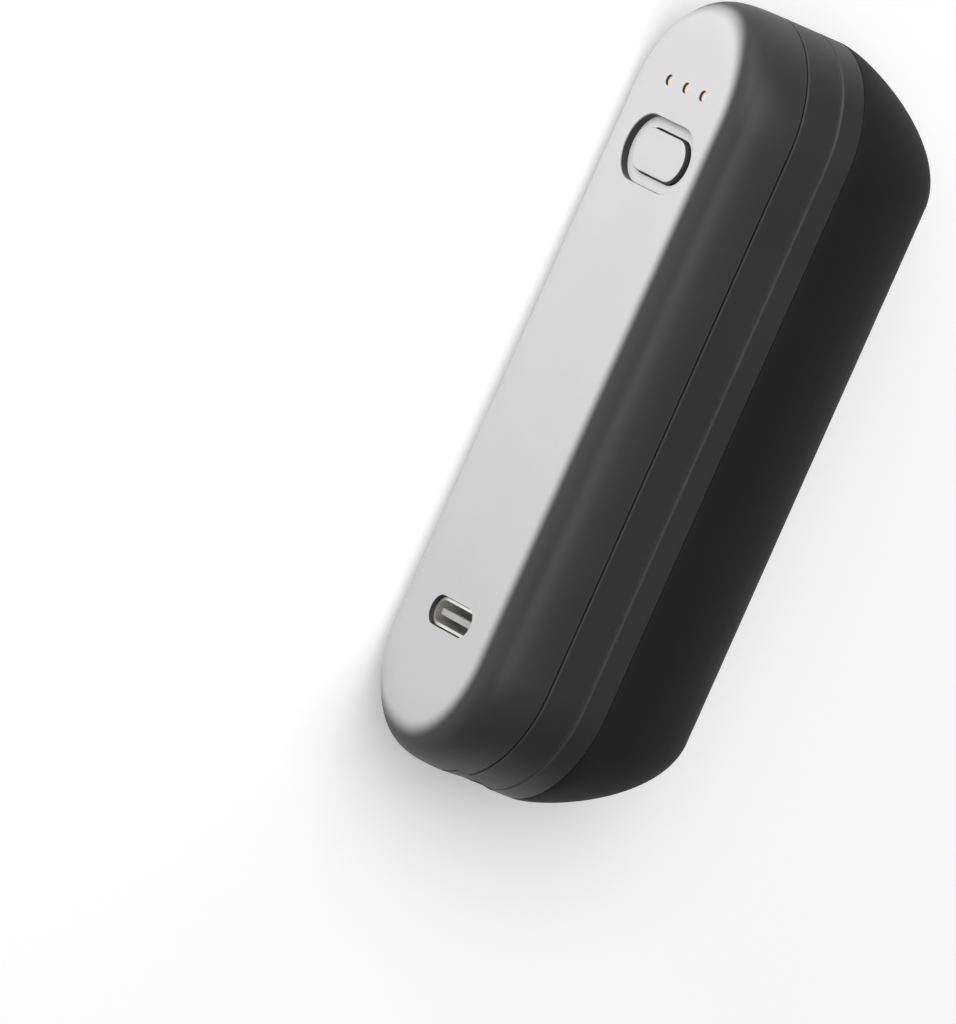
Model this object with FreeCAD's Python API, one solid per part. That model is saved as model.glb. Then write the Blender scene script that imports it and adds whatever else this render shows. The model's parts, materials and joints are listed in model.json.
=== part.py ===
import FreeCAD, Part
import os
from FreeCAD import Vector

# Rechargeable hand warmer, in millimetres.
# The pieces are drawn with x along the body towards the charging end, y inwards from the control
# face and z across the thickness from the mid-plane. They are moved when written, so that the body
# lies on one broad side with the origin under its middle.

# Body envelope
LENGTH = 88.8
THICKNESS = 25.8
DEPTH = 32.7
FACE_HALF_WIDTH = 7.1
FRONT_ARC_WEIGHT = 1.9
BACK_SIDE_HANDLE = 3.0
BACK_CROWN_HANDLE = 7.6
WALL = 1.5
FACE_WALL = 2.0

# Seams, as depths below the control face
FRONT_SEAM = 7.4
MIDDLE_SEAM = 12.1
REAR_SEAM = 15.2
FRONT_LAND = 0.4
REAR_LAND = 0.2
FRONT_GROOVE = 0.2
REAR_GROOVE = 0.06
EDGE_BREAK = 0.08
MIDDLE_CHAMFER = 0.24
LIP_LENGTH = 1.8
LIP_THICKNESS = 0.7
LIP_CLEARANCE = 0.06
TONGUE_RIM = 0.2
TONGUE_HALF_WIDTH = 4.7

# Lanyard eyelet
EYELET_DEPTH = 9.6
EYELET_RECESS = 0.35
EYELET_FLANGE_RADIUS = 3.5
EYELET_FLANGE_THICKNESS = 0.6
EYELET_FLANGE_EDGE = 0.2
EYELET_TUBE_RADIUS = 2.3
EYELET_BORE_RADIUS = 1.5
EYELET_LENGTH = 4.2
EYELET_LEAD_IN = 0.4
EYELET_CLEARANCE = 0.06
BOSS_WALL = 0.9
KNOT_CAVITY_RADIUS = 2.5
KNOT_CAVITY_LENGTH = 2.4
PIN_RADIUS = 0.5
PIN_CLEARANCE = 0.02

# Power button and its switch
BUTTON_END_DISTANCE = 18.8
WELL_LENGTH = 14.1
WELL_WIDTH = 7.6
WELL_DEPTH = 0.94
WELL_RIM = 1.1
WELL_BEVEL = 0.08
BUTTON_LENGTH = 10.7
BUTTON_WIDTH = 4.95
BUTTON_RECESS = 0.25
BUTTON_CLEARANCE = 0.17
BUTTON_FLANGE_LEDGE = 0.8
BUTTON_FLANGE_THICKNESS = 0.7
BUTTON_STOP_GAP = 0.05
BUTTON_TRAVEL = 0.35
BUTTON_STEM_RADIUS = 1.5
BUTTON_EDGE = 0.2
SWITCH_SIDE = 4.6
SWITCH_HEIGHT = 1.6
SWITCH_FLOOR = 0.4
PLUNGER_RADIUS = 1.2
PLUNGER_CLEARANCE = 0.1
PLUNGER_PROUD = 0.5
DOME_THICKNESS = 0.12
DOME_GAP = 0.1

# Indicator lights
LIGHT_BUTTON_DISTANCE = 7.72
LIGHT_PITCH = 3.84
LIGHT_COUNT = 3
LIGHT_HOLE_RADIUS = 0.62
PIPE_RADIUS = 0.58
PIPE_RECESS = 0.3
PIPE_FOOT_RADIUS = 0.9
PIPE_BAR_WIDTH = 2.4
PIPE_BAR_THICKNESS = 1.1
PIPE_BAR_MARGIN = 1.9
LED_LENGTH = 1.6
LED_WIDTH = 0.8
LED_HEIGHT = 0.6
LED_GAP = 0.3

# Charging port
PORT_END_DISTANCE = 15.7
PORT_SLOT_LENGTH = 9.12
PORT_SLOT_WIDTH = 3.4
PORT_SHELL_LENGTH = 8.94
PORT_SHELL_WIDTH = 3.16
PORT_SHELL_WALL = 0.3
PORT_SHELL_RECESS = 0.55
PORT_BASE_HEIGHT = 1.5
TONGUE_BOARD_LENGTH = 6.69
TONGUE_BOARD_THICKNESS = 0.7
TONGUE_BOARD_RECESS = 0.8
CONTACT_COUNT = 12
CONTACT_PITCH = 0.5
CONTACT_WIDTH = 0.25
CONTACT_LENGTH = 3.2
CONTACT_THICKNESS = 0.05

# Circuit board and its screws
BOARD_DEPTH = 6.4
BOARD_THICKNESS = 0.8
BOARD_SIDE_GAP = 1.8
BOARD_END_GAP = 0.5
POST_DISTANCE = 8.1
POST_EDGE = 2.2
POST_RADIUS = 1.7
POST_ROOT_DEPTH = 1.2
SCREW_RADIUS = 0.78
SCREW_CLEARANCE = 0.05
SCREW_LENGTH = 4.4
SCREW_HEAD_RADIUS = 1.5
SCREW_HEAD_HEIGHT = 0.9
SCREW_SLOT_WIDTH = 0.4
SCREW_SLOT_DEPTH = 0.4

# Chips as (x from midway between button and port, z, size along x, size along z, height)
CONTROLLER = (-9.5, 0.5, 6.0, 6.0, 0.9)
CHARGER = (2.0, 3.0, 4.0, 4.0, 0.8)
INDUCTOR = (10.0, -2.5, 5.0, 5.0, 2.6)
THERMISTOR = (-1.0, -3.8, 1.6, 0.8, 0.6)
CAPACITORS = ((-3.0, 3.2), (-3.0, 0.8), (6.3, 3.0), (10.5, 2.6))
CAPACITOR_LENGTH = 1.6
CAPACITOR_WIDTH = 0.9
CAPACITOR_HEIGHT = 0.8

# Cell, sheet and tabs
CELL_END_ROOM = 11.9
CELL_SIDE_ROOM = 2.3
CELL_BACK_ROOM = 6.76
CELL_NUB_RADIUS = 2.9
CELL_NUB_HEIGHT = 0.8
SLEEVE_THICKNESS = 0.12
SHEET_END_MARGIN = 2.5
SHEET_MARGIN = 0.3
SHEET_THICKNESS = 0.2
CELL_SHEET_GAP = 0.1
RING_CLEARANCE = 0.3
RING_THICKNESS = 0.3
TAB_WIDTH = 5.0
TAB_THICKNESS = 0.2
TAB_OVERLAP = 3.0
TAB_FOOT = 2.4

# Heating layers and the cradle behind the cell
FRONT_SPREADER_THICKNESS = 1.5
BACK_SPREADER_THICKNESS = 0.12
FILM_THICKNESS = 0.2
LAYER_CLEARANCE = 0.05
LAYER_END_MARGIN = 0.5
FRONT_LAYER_MARGIN = 2.0
FRONT_LAYER_POST_GAP = 0.5
CRADLE_END_MARGIN = 4.5
CRADLE_BORE_CLEARANCE = 0.12
CRADLE_SHELL = 0.6
CRADLE_RIBS = 4
CRADLE_RIB_THICKNESS = 1.2

# Heater leads
LEAD_RADIUS = 0.5
LEAD_TAB_GAP = 0.8
LEAD_BEND = 3.0
BACK_LEAD_CELL_GAP = 0.8
BACK_LEAD_OVERLAP = 1.8
BACK_LEAD_GAP = 0.3
FRONT_LEAD_END_MARGIN = 2.6
FRONT_LEAD_EDGE_MARGIN = 2.0

# Worked out from the sizes above
HALF = THICKNESS / 2
HALF_RUN = (LENGTH - THICKNESS) / 2
BACK_ARC_START = REAR_SEAM + REAR_LAND
END_X = LENGTH / 2
BUTTON_X = BUTTON_END_DISTANCE - END_X
LIGHT_X = BUTTON_X - LIGHT_BUTTON_DISTANCE
PORT_X = END_X - PORT_END_DISTANCE
CHIPS_X = (BUTTON_X + PORT_X) / 2
LIP_RADIUS = HALF - WALL + LIP_THICKNESS
WELL_BACK = WELL_DEPTH + WALL
FLANGE_FRONT = WELL_BACK + BUTTON_STOP_GAP
FLANGE_BACK = FLANGE_FRONT + BUTTON_FLANGE_THICKNESS
SWITCH_TOP = BOARD_DEPTH - SWITCH_HEIGHT
POCKET_FLOOR = BOARD_DEPTH - SWITCH_FLOOR
PLUNGER_TOP = SWITCH_TOP - PLUNGER_PROUD
PLUNGER_END = POCKET_FLOOR - DOME_THICKNESS - DOME_GAP - BUTTON_TRAVEL
BOARD_BACK = BOARD_DEPTH + BOARD_THICKNESS
BOARD_HALF_WIDTH = HALF - WALL - BOARD_SIDE_GAP
SHEET_BACK = BOARD_BACK + SHEET_THICKNESS
CELL_FRONT = SHEET_BACK + CELL_SHEET_GAP
CELL_RADIUS_BY_DEPTH = (DEPTH - CELL_BACK_ROOM - CELL_FRONT) / 2 - SLEEVE_THICKNESS
CELL_RADIUS = min(HALF - WALL - CELL_SIDE_ROOM, CELL_RADIUS_BY_DEPTH)
CELL_LENGTH = LENGTH - 2 * CELL_END_ROOM
SLEEVE_RADIUS = CELL_RADIUS + SLEEVE_THICKNESS
CELL_DEPTH = CELL_FRONT + SLEEVE_RADIUS
FILM_BACK_INSET = WALL + LAYER_CLEARANCE + BACK_SPREADER_THICKNESS
FILM_FRONT_INSET = FILM_BACK_INSET + FILM_THICKNESS
CRADLE_INSET = FILM_FRONT_INSET + LAYER_CLEARANCE
POST_Z = BOARD_HALF_WIDTH - POST_EDGE
SHEET_LENGTH = CELL_LENGTH - 2 * SHEET_END_MARGIN
SHEET_WIDTH = 2 * (POST_Z - SCREW_HEAD_RADIUS - SHEET_MARGIN)
CRADLE_LENGTH = CELL_LENGTH - 2 * CRADLE_END_MARGIN
BACK_LAYER_LENGTH = 2 * (HALF_RUN - LAYER_END_MARGIN)
FRONT_LAYER_START = BUTTON_X + WELL_WIDTH / 2 + WELL_RIM + FRONT_LAYER_MARGIN
FRONT_LAYER_END = PORT_X - PORT_SLOT_WIDTH / 2 - FRONT_LAYER_MARGIN
FRONT_LAYER_HALF_WIDTH = POST_Z - POST_RADIUS - FRONT_LAYER_POST_GAP
FRONT_LEAD_X = FRONT_LAYER_END - FRONT_LEAD_END_MARGIN
FRONT_LEAD_Z = FRONT_LAYER_HALF_WIDTH - FRONT_LEAD_EDGE_MARGIN
LEAD_Z = TAB_WIDTH / 2 + LEAD_TAB_GAP + LEAD_RADIUS
FRONT_FILM_TOP = FACE_WALL + FRONT_SPREADER_THICKNESS
FRONT_FILM_BACK = FRONT_FILM_TOP + FILM_THICKNESS
EYELET_FACE_X = END_X - EYELET_RECESS
SPOT_X = EYELET_FACE_X - EYELET_FLANGE_THICKNESS
SEAT_RADIUS = EYELET_FLANGE_RADIUS + EYELET_CLEARANCE
TONGUE_TOP = EYELET_DEPTH - SEAT_RADIUS - TONGUE_RIM
TUBE_END_X = END_X - EYELET_LENGTH
CAVITY_END_X = TUBE_END_X - KNOT_CAVITY_LENGTH
BOSS_RADIUS = KNOT_CAVITY_RADIUS + BOSS_WALL
BOARD_END_X = CAVITY_END_X - BOSS_WALL - BOARD_END_GAP
LIGHT_ZS = [LIGHT_PITCH * (i - (LIGHT_COUNT - 1) / 2) for i in range(LIGHT_COUNT)]
POST_XS = (BUTTON_X + POST_DISTANCE, PORT_X - POST_DISTANCE)
POSTS = [(x, z) for x in POST_XS for z in (-POST_Z, POST_Z)]


def point(depth, radius):
    """A point of a half section: depth below the face, distance from the mid-plane."""
    return Vector(0, depth, radius)


def line(start, end):
    return Part.LineSegment(start, end).toShape()


def conic(start, corner, end, weight):
    """Arc from start to end that leaves and arrives along the lines to the corner."""
    curve = Part.BezierCurve()
    curve.setPoles([start, corner, end])
    curve.setWeight(2, weight)
    return curve.toShape()


def bow(poles):
    """Smooth curve from the first pole to the last, drawn towards the two between."""
    curve = Part.BezierCurve()
    curve.setPoles(poles)
    return curve.toShape()


def front_arc(side_inset, face_inset, depth):
    """Rounded shoulder from the side wall, at a depth, to the flat control face."""
    side = point(depth, HALF - side_inset)
    corner = point(face_inset, HALF - side_inset)
    return conic(side, corner, point(face_inset, FACE_HALF_WIDTH), FRONT_ARC_WEIGHT)


def back_arc(inset):
    """Rounded back from the side wall to the crown."""
    crown = DEPTH - inset
    radius = HALF - inset
    return bow([
        point(BACK_ARC_START, radius),
        point(BACK_ARC_START + BACK_SIDE_HANDLE, radius),
        point(crown, BACK_CROWN_HANDLE * radius / HALF),
        point(crown, 0),
    ])


def arc_depth(edge, radius):
    """Depth at which an arc of the half section passes a distance from the mid-plane."""
    low, high = edge.FirstParameter, edge.LastParameter
    for _ in range(40):
        middle = (low + high) / 2
        if edge.valueAt(middle).z > radius:
            low = middle
        else:
            high = middle
    return edge.valueAt(low).y


def ends(edge):
    """First and last point of an edge in the direction it was drawn."""
    return edge.valueAt(edge.FirstParameter), edge.valueAt(edge.LastParameter)


def closed_face(*pieces):
    """Face inside a closed loop of corner points and ready-made edges, joined by straight lines."""
    edges = []
    first = None
    last = None
    for piece in pieces:
        is_point = isinstance(piece, Vector)
        start, end = (piece, piece) if is_point else ends(piece)
        if first is None:
            first = start
        elif last.distanceToPoint(start) > 1e-6:
            edges.append(line(last, start))
        if not is_point:
            edges.append(piece)
        last = end
    edges.append(line(last, first))
    return Part.Face(Part.Wire(edges))


def reverse(edge):
    """The same curve drawn the other way."""
    curve = edge.Curve.copy()
    curve.reverse()
    return curve.toShape()


def merged(solids):
    return solids[0].multiFuse(solids[1:]).removeSplitter()


def racetrack(face):
    """Half section carried round the body's plan: two straight sides and two half-round ends."""
    axis = Vector(0, 1, 0)
    side = face.translated(Vector(-HALF_RUN, 0, 0)).extrude(Vector(2 * HALF_RUN, 0, 0))
    other_side = side.mirror(Vector(0, 0, 0), Vector(0, 0, 1))
    turned = [side, other_side]
    for direction in (1, -1):
        centre = Vector(direction * HALF_RUN, 0, 0)
        turned.append(face.translated(centre).revolve(centre, axis, direction * 180))
    return merged(turned)


def strip(face, x0, x1):
    """Half section run straight along the body from x0 to x1 and mirrored over the mid-plane."""
    side = face.translated(Vector(x0, 0, 0)).extrude(Vector(x1 - x0, 0, 0))
    return merged([side, side.mirror(Vector(0, 0, 0), Vector(0, 0, 1))])


def half_disc(y0, y1, radius):
    """Plain half section between two depths, from the mid-plane out to a radius."""
    return closed_face(point(y0, 0), point(y0, radius), point(y1, radius), point(y1, 0))


def box(x0, x1, y0, y1, z0, z1):
    return Part.makeBox(x1 - x0, y1 - y0, z1 - z0, Vector(x0, y0, z0))


def block(x, z, size_x, size_z, y0, y1):
    """Box centred on (x, z) between two depths."""
    return box(x - size_x / 2, x + size_x / 2, y0, y1, z - size_z / 2, z + size_z / 2)


def rod(x, z, radius, y0, y1):
    """Cylinder square to the control face."""
    return Part.makeCylinder(radius, y1 - y0, Vector(x, y0, z), Vector(0, 1, 0))


def long_rod(x0, x1, y, radius):
    """Cylinder along the body on the mid-plane."""
    return Part.makeCylinder(radius, x1 - x0, Vector(x0, y, 0), Vector(1, 0, 0))


def pill(x, width, length, y0, y1):
    """Pill-shaped prism square to the control face, long across the body."""
    run = (length - width) / 2
    middle = block(x, 0, width, 2 * run, y0, y1)
    return merged([middle, rod(x, -run, width / 2, y0, y1), rod(x, run, width / 2, y0, y1)])


def bent_rod(start, corner, end, bend, radius):
    """Round rod along two runs at a right angle, joined by a tangent arc."""
    first = (corner - start).normalize()
    second = (end - corner).normalize()
    before = corner - first * bend
    after = corner + second * bend
    centre = before + second * bend
    middle = centre + (corner - centre).normalize() * bend
    arc = Part.Arc(before, middle, after).toShape()
    path = Part.Wire([line(start, before), arc, line(after, end)])
    ring = Part.Wire(Part.makeCircle(radius, start, first))
    return path.makePipeShell([ring], True, True)


def make_front_cover():
    """Control face with its rounded shoulder, the button well and the board's screw posts."""
    edge = FRONT_SEAM - FRONT_GROOVE / 2
    rebate = FRONT_SEAM - LIP_LENGTH - LIP_CLEARANCE
    face = closed_face(
        point(0, 0),
        reverse(front_arc(0, 0, FRONT_SEAM - FRONT_LAND)),
        point(edge - EDGE_BREAK, HALF),
        point(edge, HALF - EDGE_BREAK),
        point(edge, LIP_RADIUS),
        point(rebate, LIP_RADIUS),
        front_arc(WALL, FACE_WALL, rebate),
        point(FACE_WALL, 0),
    )
    rim = 2 * WELL_RIM
    well_pad = pill(BUTTON_X, WELL_WIDTH + rim, WELL_LENGTH + rim, FACE_WALL / 2, WELL_BACK)
    posts = [rod(x, z, POST_RADIUS, POST_ROOT_DEPTH, BOARD_DEPTH) for x, z in POSTS]
    cover = merged([racetrack(face), well_pad] + posts)
    gap = 2 * BUTTON_CLEARANCE
    cuts = [
        pill(BUTTON_X, WELL_WIDTH, WELL_LENGTH, -1, WELL_DEPTH),
        pill(BUTTON_X, BUTTON_WIDTH + gap, BUTTON_LENGTH + gap, 0, WELL_BACK + 1),
        pill(PORT_X, PORT_SLOT_WIDTH, PORT_SLOT_LENGTH, -1, FACE_WALL + 1),
        box(HALF_RUN, END_X + 1, TONGUE_TOP - FRONT_GROOVE, FRONT_SEAM + 1, *tongue_span(LIP_CLEARANCE)),
    ]
    cuts += [rod(LIGHT_X, z, LIGHT_HOLE_RADIUS, -1, FACE_WALL + 1) for z in LIGHT_ZS]
    pilot_radius = SCREW_RADIUS + SCREW_CLEARANCE
    cuts += [rod(x, z, pilot_radius, BOARD_BACK - SCREW_LENGTH, BOARD_BACK) for x, z in POSTS]
    cover = cover.cut(cuts)
    return cover.makeChamfer(min(WELL_BEVEL, WELL_DEPTH / 2), well_edges(cover))


def well_edges(cover):
    """Edges between the control face and the button well."""
    reach = WELL_WIDTH / 2 + 1e-3
    on_face = [edge for edge in cover.Edges if edge.BoundBox.YMax < 1e-3]
    low, high = BUTTON_X - reach, BUTTON_X + reach
    return [edge for edge in on_face if edge.BoundBox.XMin > low and edge.BoundBox.XMax < high]


def tongue_span(extra):
    return -TONGUE_HALF_WIDTH - extra, TONGUE_HALF_WIDTH + extra


def eyelet_seat():
    """Round pocket that the eyelet's flange sits in."""
    return long_rod(SPOT_X, END_X + 1, EYELET_DEPTH, SEAT_RADIUS)


def eyelet_hole():
    """Hole that the eyelet's tube passes through."""
    return long_rod(TUBE_END_X, END_X, EYELET_DEPTH, EYELET_TUBE_RADIUS + EYELET_CLEARANCE)


def make_front_frame():
    """Front belt ring, with a tongue and an inner boss where the eyelet is set."""
    edge = FRONT_SEAM + FRONT_GROOVE / 2
    rebate = MIDDLE_SEAM - LIP_LENGTH - LIP_CLEARANCE
    lip = LIP_RADIUS - LIP_CLEARANCE
    face = closed_face(
        point(edge + EDGE_BREAK, HALF),
        point(MIDDLE_SEAM - MIDDLE_CHAMFER, HALF),
        point(MIDDLE_SEAM, HALF - MIDDLE_CHAMFER),
        point(MIDDLE_SEAM, LIP_RADIUS),
        point(rebate, LIP_RADIUS),
        point(rebate, HALF - WALL),
        point(FRONT_SEAM - LIP_LENGTH, HALF - WALL),
        point(FRONT_SEAM - LIP_LENGTH, lip),
        point(edge, lip),
        point(edge, HALF - EDGE_BREAK),
    )
    tongue_face = closed_face(
        point(TONGUE_TOP, lip),
        point(TONGUE_TOP, HALF),
        point(edge + 2 * EDGE_BREAK, HALF),
        point(edge + 2 * EDGE_BREAK, lip),
    )
    window = box(HALF_RUN, END_X, TONGUE_TOP, MIDDLE_SEAM, *tongue_span(0))
    tongue = racetrack(tongue_face).common(window)
    boss_rod = long_rod(CAVITY_END_X - BOSS_WALL, END_X, EYELET_DEPTH, BOSS_RADIUS)
    boss = boss_rod.common(racetrack(half_disc(0, DEPTH, HALF - WALL - LIP_CLEARANCE)))
    root = boss_rod.common(racetrack(half_disc(FRONT_SEAM - LIP_LENGTH, rebate, lip)))
    frame = merged([racetrack(face), tongue, boss, root])
    return frame.cut([
        eyelet_seat(),
        eyelet_hole(),
        long_rod(CAVITY_END_X, TUBE_END_X, EYELET_DEPTH, KNOT_CAVITY_RADIUS),
        lanyard_rod(PIN_RADIUS + PIN_CLEARANCE),
    ])


def make_rear_frame():
    """Narrow belt ring between the front frame and the rear cover."""
    edge = REAR_SEAM - REAR_GROOVE / 2
    rebate = REAR_SEAM - LIP_LENGTH - LIP_CLEARANCE
    lip = LIP_RADIUS - LIP_CLEARANCE
    face = closed_face(
        point(MIDDLE_SEAM + MIDDLE_CHAMFER, HALF),
        point(edge - EDGE_BREAK, HALF),
        point(edge, HALF - EDGE_BREAK),
        point(edge, LIP_RADIUS),
        point(rebate, LIP_RADIUS),
        point(rebate, HALF - WALL),
        point(MIDDLE_SEAM - LIP_LENGTH, HALF - WALL),
        point(MIDDLE_SEAM - LIP_LENGTH, lip),
        point(MIDDLE_SEAM, lip),
        point(MIDDLE_SEAM, HALF - MIDDLE_CHAMFER),
    )
    return racetrack(face).cut([eyelet_seat(), eyelet_hole()])


def make_rear_cover():
    """Rounded back shell with the lip that snaps into the rear frame."""
    edge = REAR_SEAM + REAR_GROOVE / 2
    lip = LIP_RADIUS - LIP_CLEARANCE
    face = closed_face(
        point(edge, lip),
        point(edge, HALF - EDGE_BREAK),
        point(edge + EDGE_BREAK, HALF),
        back_arc(0),
        reverse(back_arc(WALL)),
        point(REAR_SEAM - LIP_LENGTH, HALF - WALL),
        point(REAR_SEAM - LIP_LENGTH, lip),
    )
    return racetrack(face)


def make_eyelet():
    """Flanged metal bush for the lanyard cord."""
    tube = long_rod(TUBE_END_X, EYELET_FACE_X, EYELET_DEPTH, EYELET_TUBE_RADIUS)
    flange = long_rod(SPOT_X, EYELET_FACE_X, EYELET_DEPTH, EYELET_FLANGE_RADIUS)
    rim = [edge for edge in flange.Edges if edge.BoundBox.XMin > EYELET_FACE_X - 1e-6]
    flange = flange.makeFillet(EYELET_FLANGE_EDGE, rim)
    lead_in = Part.makeCone(
        EYELET_BORE_RADIUS,
        EYELET_BORE_RADIUS + EYELET_LEAD_IN,
        EYELET_LEAD_IN,
        Vector(EYELET_FACE_X - EYELET_LEAD_IN, EYELET_DEPTH, 0),
        Vector(1, 0, 0),
    )
    bore = long_rod(TUBE_END_X - 1, EYELET_FACE_X, EYELET_DEPTH, EYELET_BORE_RADIUS)
    return merged([tube, flange]).cut([bore, lead_in])


def lanyard_rod(radius):
    """Cross pin behind the eyelet that the cord is looped round."""
    reach = BOSS_RADIUS - BOSS_WALL / 3
    x = (TUBE_END_X + CAVITY_END_X) / 2
    return Part.makeCylinder(radius, 2 * reach, Vector(x, EYELET_DEPTH, -reach), Vector(0, 0, 1))


def make_power_button():
    """Pill cap with a rounded edge, the flange that keeps it in and the stem to the switch."""
    cap = pill(BUTTON_X, BUTTON_WIDTH, BUTTON_LENGTH, BUTTON_RECESS, FLANGE_FRONT)
    rim = [edge for edge in cap.Edges if edge.BoundBox.YMax < BUTTON_RECESS + 1e-6]
    cap = cap.makeFillet(min(BUTTON_EDGE, BUTTON_WIDTH / 4), rim)
    ledge = 2 * BUTTON_FLANGE_LEDGE
    flange = pill(BUTTON_X, BUTTON_WIDTH + ledge, BUTTON_LENGTH + ledge, FLANGE_FRONT, FLANGE_BACK)
    stem = rod(BUTTON_X, 0, BUTTON_STEM_RADIUS, FLANGE_BACK, PLUNGER_TOP)
    return merged([cap, flange, stem])


def make_switch_base():
    pocket = rod(BUTTON_X, 0, PLUNGER_RADIUS + PLUNGER_CLEARANCE, SWITCH_TOP, POCKET_FLOOR)
    return block(BUTTON_X, 0, SWITCH_SIDE, SWITCH_SIDE, SWITCH_TOP, BOARD_DEPTH).cut(pocket)


def make_light_guide():
    """Clear pipes from the face to the board's lights, moulded on one bar."""
    bar_length = LIGHT_ZS[-1] - LIGHT_ZS[0] + 2 * PIPE_BAR_MARGIN
    bar_back = FACE_WALL + PIPE_BAR_THICKNESS
    pipe_end = BOARD_DEPTH - LED_HEIGHT - LED_GAP
    pieces = [block(LIGHT_X, 0, PIPE_BAR_WIDTH, bar_length, FACE_WALL, bar_back)]
    pieces += [rod(LIGHT_X, z, PIPE_RADIUS, PIPE_RECESS, FACE_WALL) for z in LIGHT_ZS]
    pieces += [rod(LIGHT_X, z, PIPE_FOOT_RADIUS, bar_back, pipe_end) for z in LIGHT_ZS]
    return merged(pieces)


def make_usb_shell():
    """Pill-shaped metal sleeve of the charging port."""
    inner_width = PORT_SHELL_WIDTH - 2 * PORT_SHELL_WALL
    inner_length = PORT_SHELL_LENGTH - 2 * PORT_SHELL_WALL
    outer = pill(PORT_X, PORT_SHELL_WIDTH, PORT_SHELL_LENGTH, PORT_SHELL_RECESS, BOARD_DEPTH)
    return outer.cut(pill(PORT_X, inner_width, inner_length, PORT_SHELL_RECESS, BOARD_DEPTH))


def make_usb_tongue():
    """Insulating base of the port with its contact tongue."""
    inner_width = PORT_SHELL_WIDTH - 2 * PORT_SHELL_WALL
    inner_length = PORT_SHELL_LENGTH - 2 * PORT_SHELL_WALL
    base_top = BOARD_DEPTH - PORT_BASE_HEIGHT
    base = pill(PORT_X, inner_width, inner_length, base_top, BOARD_DEPTH)
    blade = block(PORT_X, 0, TONGUE_BOARD_THICKNESS, TONGUE_BOARD_LENGTH, TONGUE_BOARD_RECESS, base_top)
    return merged([base, blade])


def make_usb_contacts():
    """Two rows of contact strips on the tongue."""
    base_top = BOARD_DEPTH - PORT_BASE_HEIGHT
    offset = (TONGUE_BOARD_THICKNESS + CONTACT_THICKNESS) / 2
    strips = []
    for side in (-1, 1):
        for index in range(CONTACT_COUNT):
            z = CONTACT_PITCH * (index - (CONTACT_COUNT - 1) / 2)
            x = PORT_X + side * offset
            top = base_top - CONTACT_LENGTH
            strips.append(block(x, z, CONTACT_THICKNESS, CONTACT_WIDTH, top, base_top))
    return strips


def make_board():
    """Circuit board: rounded to the body at the lights' end, square at the eyelet's end."""
    cuts = [box(BOARD_END_X, END_X, BOARD_DEPTH - 1, BOARD_BACK + 1, -HALF, HALF)]
    hole_radius = SCREW_RADIUS + SCREW_CLEARANCE
    cuts += [rod(x, z, hole_radius, BOARD_DEPTH - 1, BOARD_BACK + 1) for x, z in POSTS]
    return racetrack(half_disc(BOARD_DEPTH, BOARD_BACK, BOARD_HALF_WIDTH)).cut(cuts)


def make_board_screws():
    """Slotted screws that hold the board on the front cover's posts."""
    screws = []
    head_back = BOARD_BACK + SCREW_HEAD_HEIGHT
    for x, z in POSTS:
        head = rod(x, z, SCREW_HEAD_RADIUS, BOARD_BACK, head_back)
        slot_length = 2 * SCREW_HEAD_RADIUS + 1
        slot = block(x, z, slot_length, SCREW_SLOT_WIDTH, head_back - SCREW_SLOT_DEPTH, head_back)
        shank = rod(x, z, SCREW_RADIUS, BOARD_BACK - SCREW_LENGTH + SCREW_CLEARANCE, BOARD_BACK)
        screws.append(merged([head.cut(slot), shank]))
    return screws


def on_board(x, z, size_x, size_z, height):
    """Small block standing on the board's front."""
    return block(x, z, size_x, size_z, BOARD_DEPTH - height, BOARD_DEPTH)


def make_chip(chip):
    """Chip placed from midway between the button and the port."""
    offset, z, size_x, size_z, height = chip
    return on_board(CHIPS_X + offset, z, size_x, size_z, height)


def make_cell():
    """Round lithium cell with its raised positive end."""
    end = CELL_LENGTH / 2
    can_end = end - CELL_NUB_HEIGHT
    can = long_rod(-end, can_end, CELL_DEPTH, CELL_RADIUS)
    return merged([can, long_rod(can_end, end, CELL_DEPTH, CELL_NUB_RADIUS)])


def make_sleeve():
    """Shrink sleeve round the cell's side."""
    end = CELL_LENGTH / 2
    outer = long_rod(-end, end - CELL_NUB_HEIGHT, CELL_DEPTH, SLEEVE_RADIUS)
    return outer.cut(long_rod(-end, end - CELL_NUB_HEIGHT, CELL_DEPTH, CELL_RADIUS))


def make_insulator_ring():
    """Paper ring round the cell's positive end."""
    start = CELL_LENGTH / 2 - CELL_NUB_HEIGHT
    ring = long_rod(start, start + RING_THICKNESS, CELL_DEPTH, CELL_RADIUS)
    hole_radius = CELL_NUB_RADIUS + RING_CLEARANCE
    return ring.cut(long_rod(start, start + RING_THICKNESS, CELL_DEPTH, hole_radius))


def make_tab(side):
    """Nickel strip from one end of the cell to its foot on the back of the board."""
    end = side * CELL_LENGTH / 2
    outer = end + side * TAB_THICKNESS
    foot = end + side * TAB_FOOT
    half = TAB_WIDTH / 2
    low, high = sorted((end, outer))
    strip_part = box(low, high, BOARD_BACK, CELL_DEPTH + TAB_OVERLAP, -half, half)
    low, high = sorted((end, foot))
    foot_part = box(low, high, BOARD_BACK, BOARD_BACK + TAB_THICKNESS, -half, half)
    return merged([strip_part, foot_part])


def back_layer(near_inset, far_inset):
    """Thin sheet following the inside of the rounded back."""
    face = closed_face(back_arc(far_inset), reverse(back_arc(near_inset)))
    return strip(face, -BACK_LAYER_LENGTH / 2, BACK_LAYER_LENGTH / 2)


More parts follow.
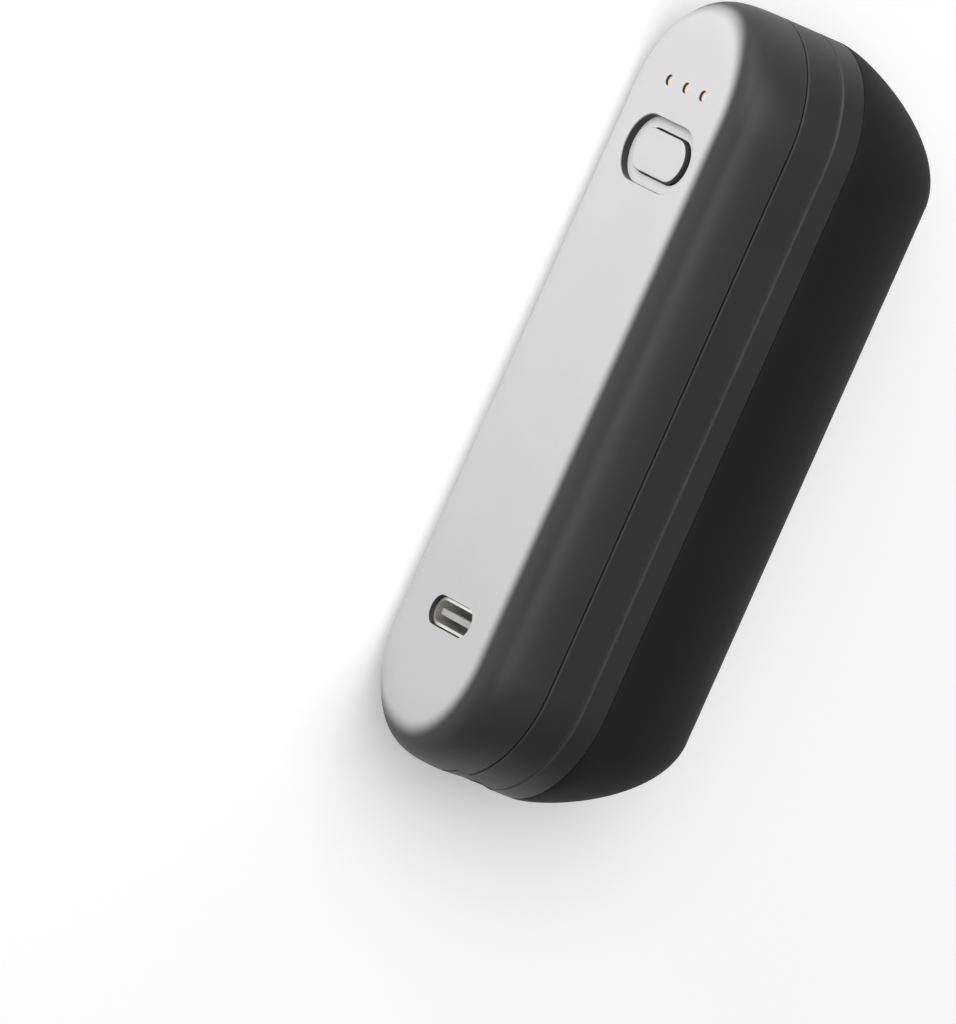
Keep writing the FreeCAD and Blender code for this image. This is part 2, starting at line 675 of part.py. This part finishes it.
def make_cradle():
    """Ribbed half trough that holds the cell against the heating layers."""
    inside = closed_face(point(BACK_ARC_START, 0), back_arc(CRADLE_INSET))
    half = CRADLE_LENGTH / 2
    space = strip(inside, -half, half)
    bore_radius = SLEEVE_RADIUS + CRADLE_BORE_CLEARANCE
    trough = long_rod(-half, half, CELL_DEPTH, bore_radius + CRADLE_SHELL).common(space)
    pitch = (CRADLE_LENGTH - CRADLE_RIB_THICKNESS) / (CRADLE_RIBS - 1)
    starts = [-half + pitch * index for index in range(CRADLE_RIBS)]
    ribs = [strip(inside, start, start + CRADLE_RIB_THICKNESS) for start in starts]
    open_side = box(-half - 1, half + 1, 0, CELL_DEPTH, -HALF, HALF)
    return merged([trough] + ribs).cut([long_rod(-half - 1, half + 1, CELL_DEPTH, bore_radius), open_side])


def make_back_leads():
    """Two wires from the board down to the end of the rear heater."""
    film_depth = arc_depth(back_arc(FILM_FRONT_INSET + LEAD_RADIUS + BACK_LEAD_GAP), LEAD_Z)
    run_x = -CELL_LENGTH / 2 - BACK_LEAD_CELL_GAP - LEAD_RADIUS
    end_x = -BACK_LAYER_LENGTH / 2 + BACK_LEAD_OVERLAP
    leads = []
    for z in (-LEAD_Z, LEAD_Z):
        start = Vector(run_x, BOARD_BACK, z)
        corner = Vector(run_x, film_depth, z)
        leads.append(bent_rod(start, corner, Vector(end_x, film_depth, z), LEAD_BEND, LEAD_RADIUS))
    return leads


def front_layer(y0, y1):
    half = FRONT_LAYER_HALF_WIDTH
    return box(FRONT_LAYER_START, FRONT_LAYER_END, y0, y1, -half, half)


def make_capacitors():
    size = (CAPACITOR_LENGTH, CAPACITOR_WIDTH, CAPACITOR_HEIGHT)
    return [make_chip((offset, z) + size) for offset, z in CAPACITORS]


def make_leds():
    return [on_board(LIGHT_X, z, LED_WIDTH, LED_LENGTH, LED_HEIGHT) for z in LIGHT_ZS]


def make_pieces():
    """Every piece of the hand warmer by name."""
    front_lead_zs = (-FRONT_LEAD_Z, FRONT_LEAD_Z)
    return {
        "front_cover": make_front_cover(),
        "front_frame": make_front_frame(),
        "rear_frame": make_rear_frame(),
        "rear_cover": make_rear_cover(),
        "lanyard_eyelet": make_eyelet(),
        "lanyard_pin": lanyard_rod(PIN_RADIUS),
        "power_button": make_power_button(),
        "switch_plunger": rod(BUTTON_X, 0, PLUNGER_RADIUS, PLUNGER_TOP, PLUNGER_END),
        "switch_base": make_switch_base(),
        "switch_dome": rod(BUTTON_X, 0, PLUNGER_RADIUS, POCKET_FLOOR - DOME_THICKNESS, POCKET_FLOOR),
        "light_guide": make_light_guide(),
        "indicator_leds": make_leds(),
        "usb_c_shell": make_usb_shell(),
        "usb_c_tongue": make_usb_tongue(),
        "usb_c_contacts": make_usb_contacts(),
        "main_board": make_board(),
        "board_screws": make_board_screws(),
        "controller_chip": make_chip(CONTROLLER),
        "charger_chip": make_chip(CHARGER),
        "power_inductor": make_chip(INDUCTOR),
        "thermistor": make_chip(THERMISTOR),
        "board_capacitors": make_capacitors(),
        "insulating_sheet": block(0, 0, SHEET_LENGTH, SHEET_WIDTH, BOARD_BACK, SHEET_BACK),
        "battery_cell": make_cell(),
        "cell_sleeve": make_sleeve(),
        "cell_insulator": make_insulator_ring(),
        "positive_tab": make_tab(1),
        "negative_tab": make_tab(-1),
        "cell_cradle": make_cradle(),
        "rear_heat_spreader": back_layer(WALL + LAYER_CLEARANCE, FILM_BACK_INSET),
        "rear_heater_film": back_layer(FILM_BACK_INSET, FILM_FRONT_INSET),
        "rear_heater_leads": make_back_leads(),
        "front_heat_spreader": front_layer(FACE_WALL, FRONT_FILM_TOP),
        "front_heater_film": front_layer(FRONT_FILM_TOP, FRONT_FILM_BACK),
        "front_heater_leads": [
            rod(FRONT_LEAD_X, z, LEAD_RADIUS, FRONT_FILM_BACK, BOARD_DEPTH) for z in front_lead_zs
        ],
    }


def write_pieces():
    """Moves each piece to the resting frame and writes it."""
    os.makedirs("parts", exist_ok=True)
    shift = Vector(0, -DEPTH / 2, HALF)
    for name, shape in make_pieces().items():
        solids = shape if isinstance(shape, list) else shape.Solids
        placed = [solid.translated(shift) for solid in solids]
        whole = placed[0] if len(placed) == 1 else Part.makeCompound(placed)
        whole.exportStep(os.path.join("parts", name + ".step"))
        state = "valid" if whole.isValid() else "BAD"
        print(name, len(placed), "solids", round(whole.Volume, 2), "mm3", state)


write_pieces()
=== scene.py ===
"""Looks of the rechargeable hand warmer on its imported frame: finishes, floor, soft light and camera."""

import json
from math import cos, radians

import bpy
from mathutils import Matrix, Vector

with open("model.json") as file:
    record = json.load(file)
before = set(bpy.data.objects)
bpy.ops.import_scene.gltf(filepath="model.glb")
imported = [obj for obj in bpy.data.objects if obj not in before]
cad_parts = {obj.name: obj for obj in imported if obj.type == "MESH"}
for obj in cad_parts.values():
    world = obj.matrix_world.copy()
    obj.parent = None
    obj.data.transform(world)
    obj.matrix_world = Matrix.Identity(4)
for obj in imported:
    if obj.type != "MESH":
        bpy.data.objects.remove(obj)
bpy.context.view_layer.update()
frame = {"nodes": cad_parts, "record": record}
scene = bpy.context.scene
scene.view_settings.view_transform = "Standard"

MM = 0.001

# Places on the body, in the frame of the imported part
FACE_DEPTH = -16.35 * MM
MIDDLE_HEIGHT = 12.9 * MM
HALF_RUN = 31.5 * MM

# Painted reflection of a bright overhead light on the control face, fading over the shoulder and darker
# towards the port end
# The low side's larger reach is a painted grazing reflection
REFLECTION_STRETCH = {"light_end": 0.81, "port_end": 0.9, "low_side": 0.72}
REFLECTION_EDGE = (8.1 * MM, 10.0 * MM)
REFLECTION_TILT = (cos(radians(60)), cos(radians(25)))
FALLOFF_RUN = (-36.0 * MM, 40.0 * MM)
REFLECTION_GREYS = (0.765, 0.6)
# Painted light falloff along the face: up to this share darker towards the port end
REFLECTION_FALLOFF = 0.75
# Well floor painted lighter than the face: painted light that cancels the recess's shade
WELL_PAINTED_LIGHT = 0.93
WELL_PAINTED_LIGHT_DEPTHS = (0.5 * MM, 0.8 * MM)

# Painted highlight lines along the seam edges, as depths below the face
HIGHLIT_SEAMS = (7.4 * MM, 12.1 * MM)
SEAM_HIGHLIGHT_WIDTH = (0.2 * MM, 0.4 * MM)

# Range that most of a noise's values lie in
NOISE_RANGE = (0.3, 0.7)

# Studio
FLOOR_HALF = 6.0
FLOOR_GREYS = (0.84, 0.87)
FLOOR_LIFT = 0.3
WORLD_STRENGTH = 0.18
LAMPS = {
    "key": {
        "place": (-0.56, -0.5, 1.52),
        "target": (0.0, 0.0, 0.0),
        "width": 1.8,
        "height": 1.8,
        "watts": 25.0,
    },
    "front_fill": {
        "place": (-0.32, -0.5, 0.12),
        "target": (0.0, 0.0, 0.01),
        "width": 0.5,
        "height": 0.25,
        "watts": 1.25,
    },
}

# Camera
CAMERA_PLACE = Vector((-66.182, -951.208, 1556.961)) * MM
CAMERA_RIGHT = Vector((-0.40655, 0.79158, 0.45619))
CAMERA_UP = Vector((-0.91246, -0.32655, -0.24655))
CAMERA_BACK = Vector((-0.04619, -0.51649, 0.85505))
FOCAL_PIXELS = 16850.02
FRAME_PIXELS = 1024
SENSOR = 36.0


class Finish:
    """A node material whose parts are added one after the other."""

    def __init__(self, name):
        self.material = bpy.data.materials.new(name)
        self.material.use_nodes = True
        self.tree = self.material.node_tree
        self.shader = self.tree.nodes["Principled BSDF"]
        coordinates = self.tree.nodes.new("ShaderNodeTexCoord")
        self.place = coordinates.outputs["Object"]
        self.normal = coordinates.outputs["Normal"]

    def node(self, kind, settings=None, inputs=None):
        """Adds a node; inputs may be numbers, colours or outputs of other nodes."""
        made = self.tree.nodes.new("ShaderNode" + kind)
        for key, value in (settings or {}).items():
            setattr(made, key, value)
        for key, value in (inputs or {}).items():
            self.feed(made.inputs[key], value)
        return made

    def feed(self, socket, value):
        """Links an output to a socket, or sets the socket's own value."""
        if isinstance(value, bpy.types.NodeSocket):
            self.tree.links.new(value, socket)
        else:
            socket.default_value = value

    def set(self, **values):
        """Sets or links sockets of the surface shader, named with underscores for spaces."""
        for key, value in values.items():
            self.feed(self.shader.inputs[key.replace("_", " ")], value)

    def stretched(self, scale):
        """Object coordinates scaled along each axis."""
        return self.node("Mapping", inputs={"Vector": self.place, "Scale": scale}).outputs["Vector"]

    def noise(self, scale, detail=3.0, roughness=0.5, where=None):
        """Value of a noise whose features measure about one over the scale, in metres."""
        inputs = {"Vector": where or self.place, "Scale": scale, "Detail": detail, "Roughness": roughness}
        return self.node("TexNoise", inputs=inputs).outputs["Fac"]

    def math(self, operation, first, second=0.0):
        """Result of one sum on values or outputs."""
        return self.node("Math", {"operation": operation}, {0: first, 1: second}).outputs[0]

    def span(self, value, low, high, to_low=0.0, to_high=1.0, smooth=False):
        """A value carried from one range to another and held inside it."""
        kind = "SMOOTHSTEP" if smooth else "LINEAR"
        made = self.node("MapRange", {"interpolation_type": kind}, {"Value": value})
        for key, number in zip(("From Min", "From Max", "To Min", "To Max"), (low, high, to_low, to_high)):
            made.inputs[key].default_value = number
        return made.outputs["Result"]

    def spread(self, noise, low=0.0, high=1.0):
        """A noise carried to a range."""
        return self.span(noise, *NOISE_RANGE, low, high)

    def mix(self, factor, first, second):
        """Colour between two colours or outputs."""
        made = self.node("Mix", {"data_type": "RGBA"})
        self.feed(made.inputs["Factor"], factor)
        for name, value in (("A", first), ("B", second)):
            socket = [s for s in made.inputs if s.name == name and s.type == "RGBA"][0]
            self.feed(socket, value)
        return [s for s in made.outputs if s.type == "RGBA"][0]

    def bump(self, height, distance, strength):
        """Raises the surface by a height value, in metres."""
        made = self.node("Bump", inputs={"Strength": strength, "Distance": distance, "Height": height})
        self.feed(self.shader.inputs["Normal"], made.outputs["Normal"])

    def axis(self, name):
        """One coordinate of the object's place."""
        return self.node("SeparateXYZ", inputs={0: self.place}).outputs[name]

    def depth(self):
        """Depth below the control face."""
        return self.math("SUBTRACT", self.axis("Y"), FACE_DEPTH)


def grey(value):
    """A neutral colour."""
    return (value, value, value, 1.0)


def colour(red, green, blue):
    """A colour with full cover."""
    return (red, green, blue, 1.0)


def satin_skin(finish, low, high):
    """Fine spark-textured moulded skin with handling variation in its gloss."""
    handled = finish.noise(55.0, 4.0, 0.6)
    grain = finish.noise(7500.0, 2.0)
    gloss = finish.spread(handled, low, high)
    finish.set(Roughness=finish.math("ADD", gloss, finish.spread(grain, -0.02, 0.02)))
    finish.bump(grain, 0.000012, 0.5)
    return handled, grain


def painted_seam_highlight(finish, dark, seam_highlight):
    """Colour that pales a little in thin lines along the seams: a painted highlight of the seam edges,
    uneven along its length.
    """
    depth = finish.depth()
    uneven = finish.span(finish.noise(900.0, 4.0, 0.65), 0.35, 0.65, 0.7, 1.0)
    line = None
    for seam in HIGHLIT_SEAMS:
        away = finish.math("ABSOLUTE", finish.math("SUBTRACT", depth, seam))
        near = finish.span(away, *SEAM_HIGHLIGHT_WIDTH, 1.0, 0.0, True)
        line = near if line is None else finish.math("MAXIMUM", line, near)
    return finish.mix(finish.math("MULTIPLY", line, uneven), dark, seam_highlight)


def moulded(name, dark, light, seam_highlight, ior, rough):
    """Charcoal moulded plastic of the housing."""
    finish = Finish(name)
    handled = satin_skin(finish, rough - 0.05, rough + 0.05)[0]
    mottled = finish.mix(finish.spread(handled), grey(dark), grey(light))
    # The pale lines at the seams are painted highlights
    finish.set(Base_Color=painted_seam_highlight(finish, mottled, grey(seam_highlight)), IOR=ior)
    return finish.material


def painted_reflection_cover(finish):
    """Where the painted reflection lies: on the flat face, fading over the shoulder as the surface turns
    away, and not on walls.
    """
    x = finish.axis("X")
    past_light = finish.math("SUBTRACT", finish.math("MULTIPLY", x, -1.0), HALF_RUN)
    past_light = finish.math("MAXIMUM", past_light, 0.0)
    past_port = finish.math("MAXIMUM", finish.math("SUBTRACT", x, HALF_RUN), 0.0)
    along = finish.math(
        "ADD",
        finish.math("MULTIPLY", past_light, REFLECTION_STRETCH["light_end"]),
        finish.math("MULTIPLY", past_port, REFLECTION_STRETCH["port_end"]),
    )
    across = finish.math("SUBTRACT", finish.axis("Z"), MIDDLE_HEIGHT)
    # The low side is stretched so the painted reflection reaches further there, as a painted grazing
    # reflection
    across = finish.math("MAXIMUM", across, finish.math("MULTIPLY", across, -REFLECTION_STRETCH["low_side"]))
    squares = finish.math(
        "ADD",
        finish.math("MULTIPLY", along, along),
        finish.math("MULTIPLY", across, across),
    )
    patch = finish.span(finish.math("SQRT", squares), *REFLECTION_EDGE, 1.0, 0.0, True)
    outward = finish.node("SeparateXYZ", inputs={0: finish.normal}).outputs["Y"]
    facing = finish.math("MULTIPLY", outward, -1.0)
    return finish.math("MULTIPLY", patch, finish.span(facing, *REFLECTION_TILT, 0.0, 1.0, True))


def control_face(name):
    """Charcoal housing plastic whose flat face carries a painted reflection in light silver-grey that
    fades out over the shoulder.
    """
    finish = Finish(name)
    handled, grain = satin_skin(finish, 0.45, 0.55)
    dark = finish.mix(finish.spread(handled), grey(0.031), grey(0.035))
    # Painted highlight lines along the seams
    seam_highlight = painted_seam_highlight(finish, dark, grey(0.045))
    speck = finish.math("ADD", finish.spread(grain, 0.0, 0.15), finish.spread(handled, 0.0, 0.1))
    # Painted light falloff along the face, darker towards the port end, plus random speck
    falloff_and_speck = finish.math("ADD", finish.span(finish.axis("X"), *FALLOFF_RUN, 0.0, REFLECTION_FALLOFF), speck)
    reflection = finish.mix(falloff_and_speck, *[grey(value) for value in REFLECTION_GREYS])
    # Painted light on the well floor, to cancel the recess's shade
    light = finish.mix(finish.span(finish.depth(), *WELL_PAINTED_LIGHT_DEPTHS), reflection, grey(WELL_PAINTED_LIGHT))
    finish.set(Base_Color=finish.mix(painted_reflection_cover(finish), seam_highlight, light), IOR=1.45)
    return finish.material


def brushed(name, low, high, stretch, rough_low, rough_high):
    """Bare metal drawn or rolled in one direction."""
    finish = Finish(name)
    lines = finish.noise(1.0, 4.0, 0.6, finish.stretched(stretch))
    stain = finish.noise(260.0, 3.0)
    drawn = finish.spread(lines, rough_low, rough_high)
    finish.set(
        Base_Color=finish.mix(finish.spread(lines), low, high),
        Metallic=1.0,
        Roughness=finish.math("ADD", drawn, finish.spread(stain, -0.05, 0.05)),
    )
    finish.bump(lines, 0.000004, 0.5)
    return finish.material


def cast(name, low, high, scale, roughness, bump):
    """Plain moulded, fired or pressed stuff with a mottled grain."""
    finish = Finish(name)
    grain = finish.noise(scale, 4.0, 0.6)
    cloud = finish.noise(scale / 12.0, 2.0)
    mottle = finish.math("MULTIPLY", finish.math("ADD", grain, cloud), 0.5)
    finish.set(
        Base_Color=finish.mix(finish.span(mottle, 0.35, 0.65), low, high),
        Roughness=finish.spread(cloud, roughness - 0.08, roughness + 0.08),
    )
    finish.bump(grain, bump, 0.6)
    return finish.material


def lit_pipe(name):
    """Clear light guide that glows a warm peach at its tips."""
    finish = Finish(name)
    tip = finish.span(finish.depth(), 0.0004, 0.0016, 1.0, 0.0, True)
    cloud = finish.noise(3500.0, 2.0)
    warm = finish.mix(finish.spread(cloud), colour(0.96, 0.64, 0.5), colour(0.98, 0.74, 0.62))
    finish.set(
        Base_Color=warm,
        Roughness=finish.spread(cloud, 0.18, 0.3),
        Emission_Color=warm,
        Emission_Strength=finish.span(tip, 0.0, 1.0, 0.08, 0.3),
    )
    finish.bump(cloud, 0.000004, 0.4)
    return finish.material


def solder_mask(name):
    """Green board with darker copper runs under the mask."""
    finish = Finish(name)
    runs = finish.node(
        "TexBrick",
        inputs={
            "Vector": finish.place,
            "Color1": colour(0.012, 0.1, 0.035),
            "Color2": colour(0.016, 0.13, 0.05),
            "Mortar": colour(0.03, 0.2, 0.08),
            "Scale": 160.0,
            "Mortar Size": 0.03,
        },
    ).outputs["Color"]
    cloud = finish.noise(700.0, 3.0)
    finish.set(Base_Color=runs, Roughness=finish.spread(cloud, 0.2, 0.36))
    finish.bump(cloud, 0.000008, 0.4)
    return finish.material


def heater_foil(name):
    """Amber polyimide film with a winding resistance track showing through."""
    finish = Finish(name)
    track = finish.node(
        "TexWave",
        {"wave_type": "BANDS", "bands_direction": "X"},
        {"Vector": finish.place, "Scale": 110.0, "Distortion": 1.5, "Detail": 1.0},
    ).outputs["Fac"]
    cloud = finish.noise(500.0, 3.0)
    shown = finish.span(track, 0.55, 0.7)
    finish.set(
        Base_Color=finish.mix(shown, colour(0.5, 0.22, 0.04), colour(0.3, 0.13, 0.05)),
        Roughness=finish.spread(cloud, 0.18, 0.32),
    )
    finish.bump(track, 0.00002, 0.4)
    return finish.material


PORT_STEEL = (colour(0.8, 0.79, 0.76), colour(0.95, 0.94, 0.91))
COPPER = (colour(0.62, 0.3, 0.17), colour(0.78, 0.42, 0.26))
LED_LENS = (colour(0.8, 0.72, 0.5), colour(0.9, 0.85, 0.66))
CERAMIC = (colour(0.36, 0.23, 0.12), colour(0.52, 0.37, 0.22))
SLEEVE_BLUE = (colour(0.02, 0.08, 0.27), colour(0.04, 0.13, 0.38))
PAPER = (colour(0.62, 0.59, 0.52), colour(0.78, 0.75, 0.68))
LEAD_RED = (colour(0.3, 0.015, 0.012), colour(0.42, 0.03, 0.02))

LOOKS = {
    "face_plastic": control_face("face_with_painted_reflection"),
    "belt_plastic": moulded("belt_charcoal", 0.026, 0.03, 0.055, 1.42, 0.5),
    "back_plastic": moulded("back_charcoal", 0.019, 0.022, 0.022, 1.18, 0.62),
    "eyelet_black": moulded("eyelet_charcoal", 0.018, 0.024, 0.04, 1.5, 0.4),
    "steel": brushed("bright_steel", grey(0.5), grey(0.62), (4000.0, 4000.0, 400.0), 0.22, 0.36),
    "port_steel": brushed("port_steel", *PORT_STEEL, (5000.0, 600.0, 5000.0), 0.42, 0.56),
    "copper": brushed("rolled_copper", *COPPER, (400.0, 3000.0, 3000.0), 0.26, 0.4),
    "nickel": brushed("rolled_nickel", grey(0.55), grey(0.66), (500.0, 4000.0, 4000.0), 0.25, 0.4),
    "cell_can": brushed("plated_can", grey(0.5), grey(0.6), (300.0, 3500.0, 3500.0), 0.22, 0.36),
    "port_plastic": cast("grey_port_plastic", grey(0.4), grey(0.55), 3600.0, 0.4, 0.000006),
    "switch_plastic": cast("black_polyamide", grey(0.02), grey(0.035), 2600.0, 0.5, 0.00001),
    "light_orange": lit_pipe("lit_peach_guide"),
    "led_white": cast("led_lens", *LED_LENS, 3000.0, 0.25, 0.000004),
    "board_green": solder_mask("green_solder_mask"),
    "chip_black": cast("chip_epoxy", grey(0.012), grey(0.024), 5200.0, 0.55, 0.00001),
    "ceramic_tan": cast("fired_ceramic", *CERAMIC, 4200.0, 0.5, 0.000008),
    "sheet_grey": cast("grey_sheet", grey(0.26), grey(0.36), 1500.0, 0.6, 0.000012),
    "sleeve_blue": cast("blue_shrink_film", *SLEEVE_BLUE, 900.0, 0.24, 0.00001),
    "paper_white": cast("pressed_paper", *PAPER, 2400.0, 0.85, 0.00003),
    "graphite": cast("graphite_sheet", grey(0.03), grey(0.06), 3200.0, 0.45, 0.00001),
    "heater_film": heater_foil("amber_heater_film"),
    "lead_red": cast("red_lead_skin", *LEAD_RED, 1800.0, 0.45, 0.00001),
}


def dress_nodes():
    """Gives every carried-over solid the finish of its slot."""
    slots = {part["node"]: part["material_slot"] for part in frame["record"]["subparts"]}
    for name, obj in frame["nodes"].items():
        obj.data.materials.clear()
        obj.data.materials.append(LOOKS[slots[name]])


def make_floor():
    """Pale floor that reads white to the camera and still takes the object's shadow."""
    half = FLOOR_HALF
    corners = [(-half, -half, 0), (half, -half, 0), (half, half, 0), (-half, half, 0)]
    mesh = bpy.data.meshes.new("floor")
    mesh.from_pydata(corners, [], [(0, 1, 2, 3)])
    floor = bpy.data.objects.new("floor", mesh)
    scene.collection.objects.link(floor)
    finish = Finish("pale_floor")
    cloud = finish.noise(3.0, 2.0)
    finish.set(
        Base_Color=finish.mix(finish.spread(cloud), *[grey(value) for value in FLOOR_GREYS]),
        Roughness=finish.spread(cloud, 0.8, 0.9),
        Specular_IOR_Level=0.1,
        Emission_Color=grey(1.0),
    )
    ray = finish.node("LightPath").outputs
    seen = finish.math("MAXIMUM", ray["Is Camera Ray"], ray["Is Glossy Ray"])
    seen = finish.math("MAXIMUM", seen, ray["Is Transmission Ray"])
    finish.set(Emission_Strength=finish.math("MULTIPLY", seen, FLOOR_LIFT))
    mesh.materials.append(finish.material)


def make_world():
    """Dim neutral surround."""
    world = bpy.data.worlds.new("studio")
    scene.world = world
    world.use_nodes = True
    background = world.node_tree.nodes["Background"]
    background.inputs["Color"].default_value = grey(1.0)
    background.inputs["Strength"].default_value = WORLD_STRENGTH


def soft_light(name, place, target, width, height, watts):
    """One large soft lamp aimed at a point."""
    data = bpy.data.lights.new(name, "AREA")
    data.shape = "RECTANGLE"
    data.size = width
    data.size_y = height
    data.energy = watts
    lamp = bpy.data.objects.new(name, data)
    lamp.location = place
    lamp.rotation_euler = (Vector(target) - Vector(place)).to_track_quat("-Z", "Y").to_euler()
    scene.collection.objects.link(lamp)


def make_camera():
    """Camera at the viewing angle of the photograph."""
    data = bpy.data.cameras.new("camera")
    data.sensor_width = SENSOR
    data.lens = FOCAL_PIXELS * SENSOR / FRAME_PIXELS
    camera = bpy.data.objects.new("camera", data)
    turn = Matrix((CAMERA_RIGHT, CAMERA_UP, CAMERA_BACK)).transposed()
    camera.matrix_world = Matrix.Translation(CAMERA_PLACE) @ turn.to_4x4()
    scene.collection.objects.link(camera)
    scene.camera = camera


dress_nodes()
make_floor()
make_world()
for lamp_name, lamp_settings in LAMPS.items():
    soft_light(lamp_name, **lamp_settings)
make_camera()
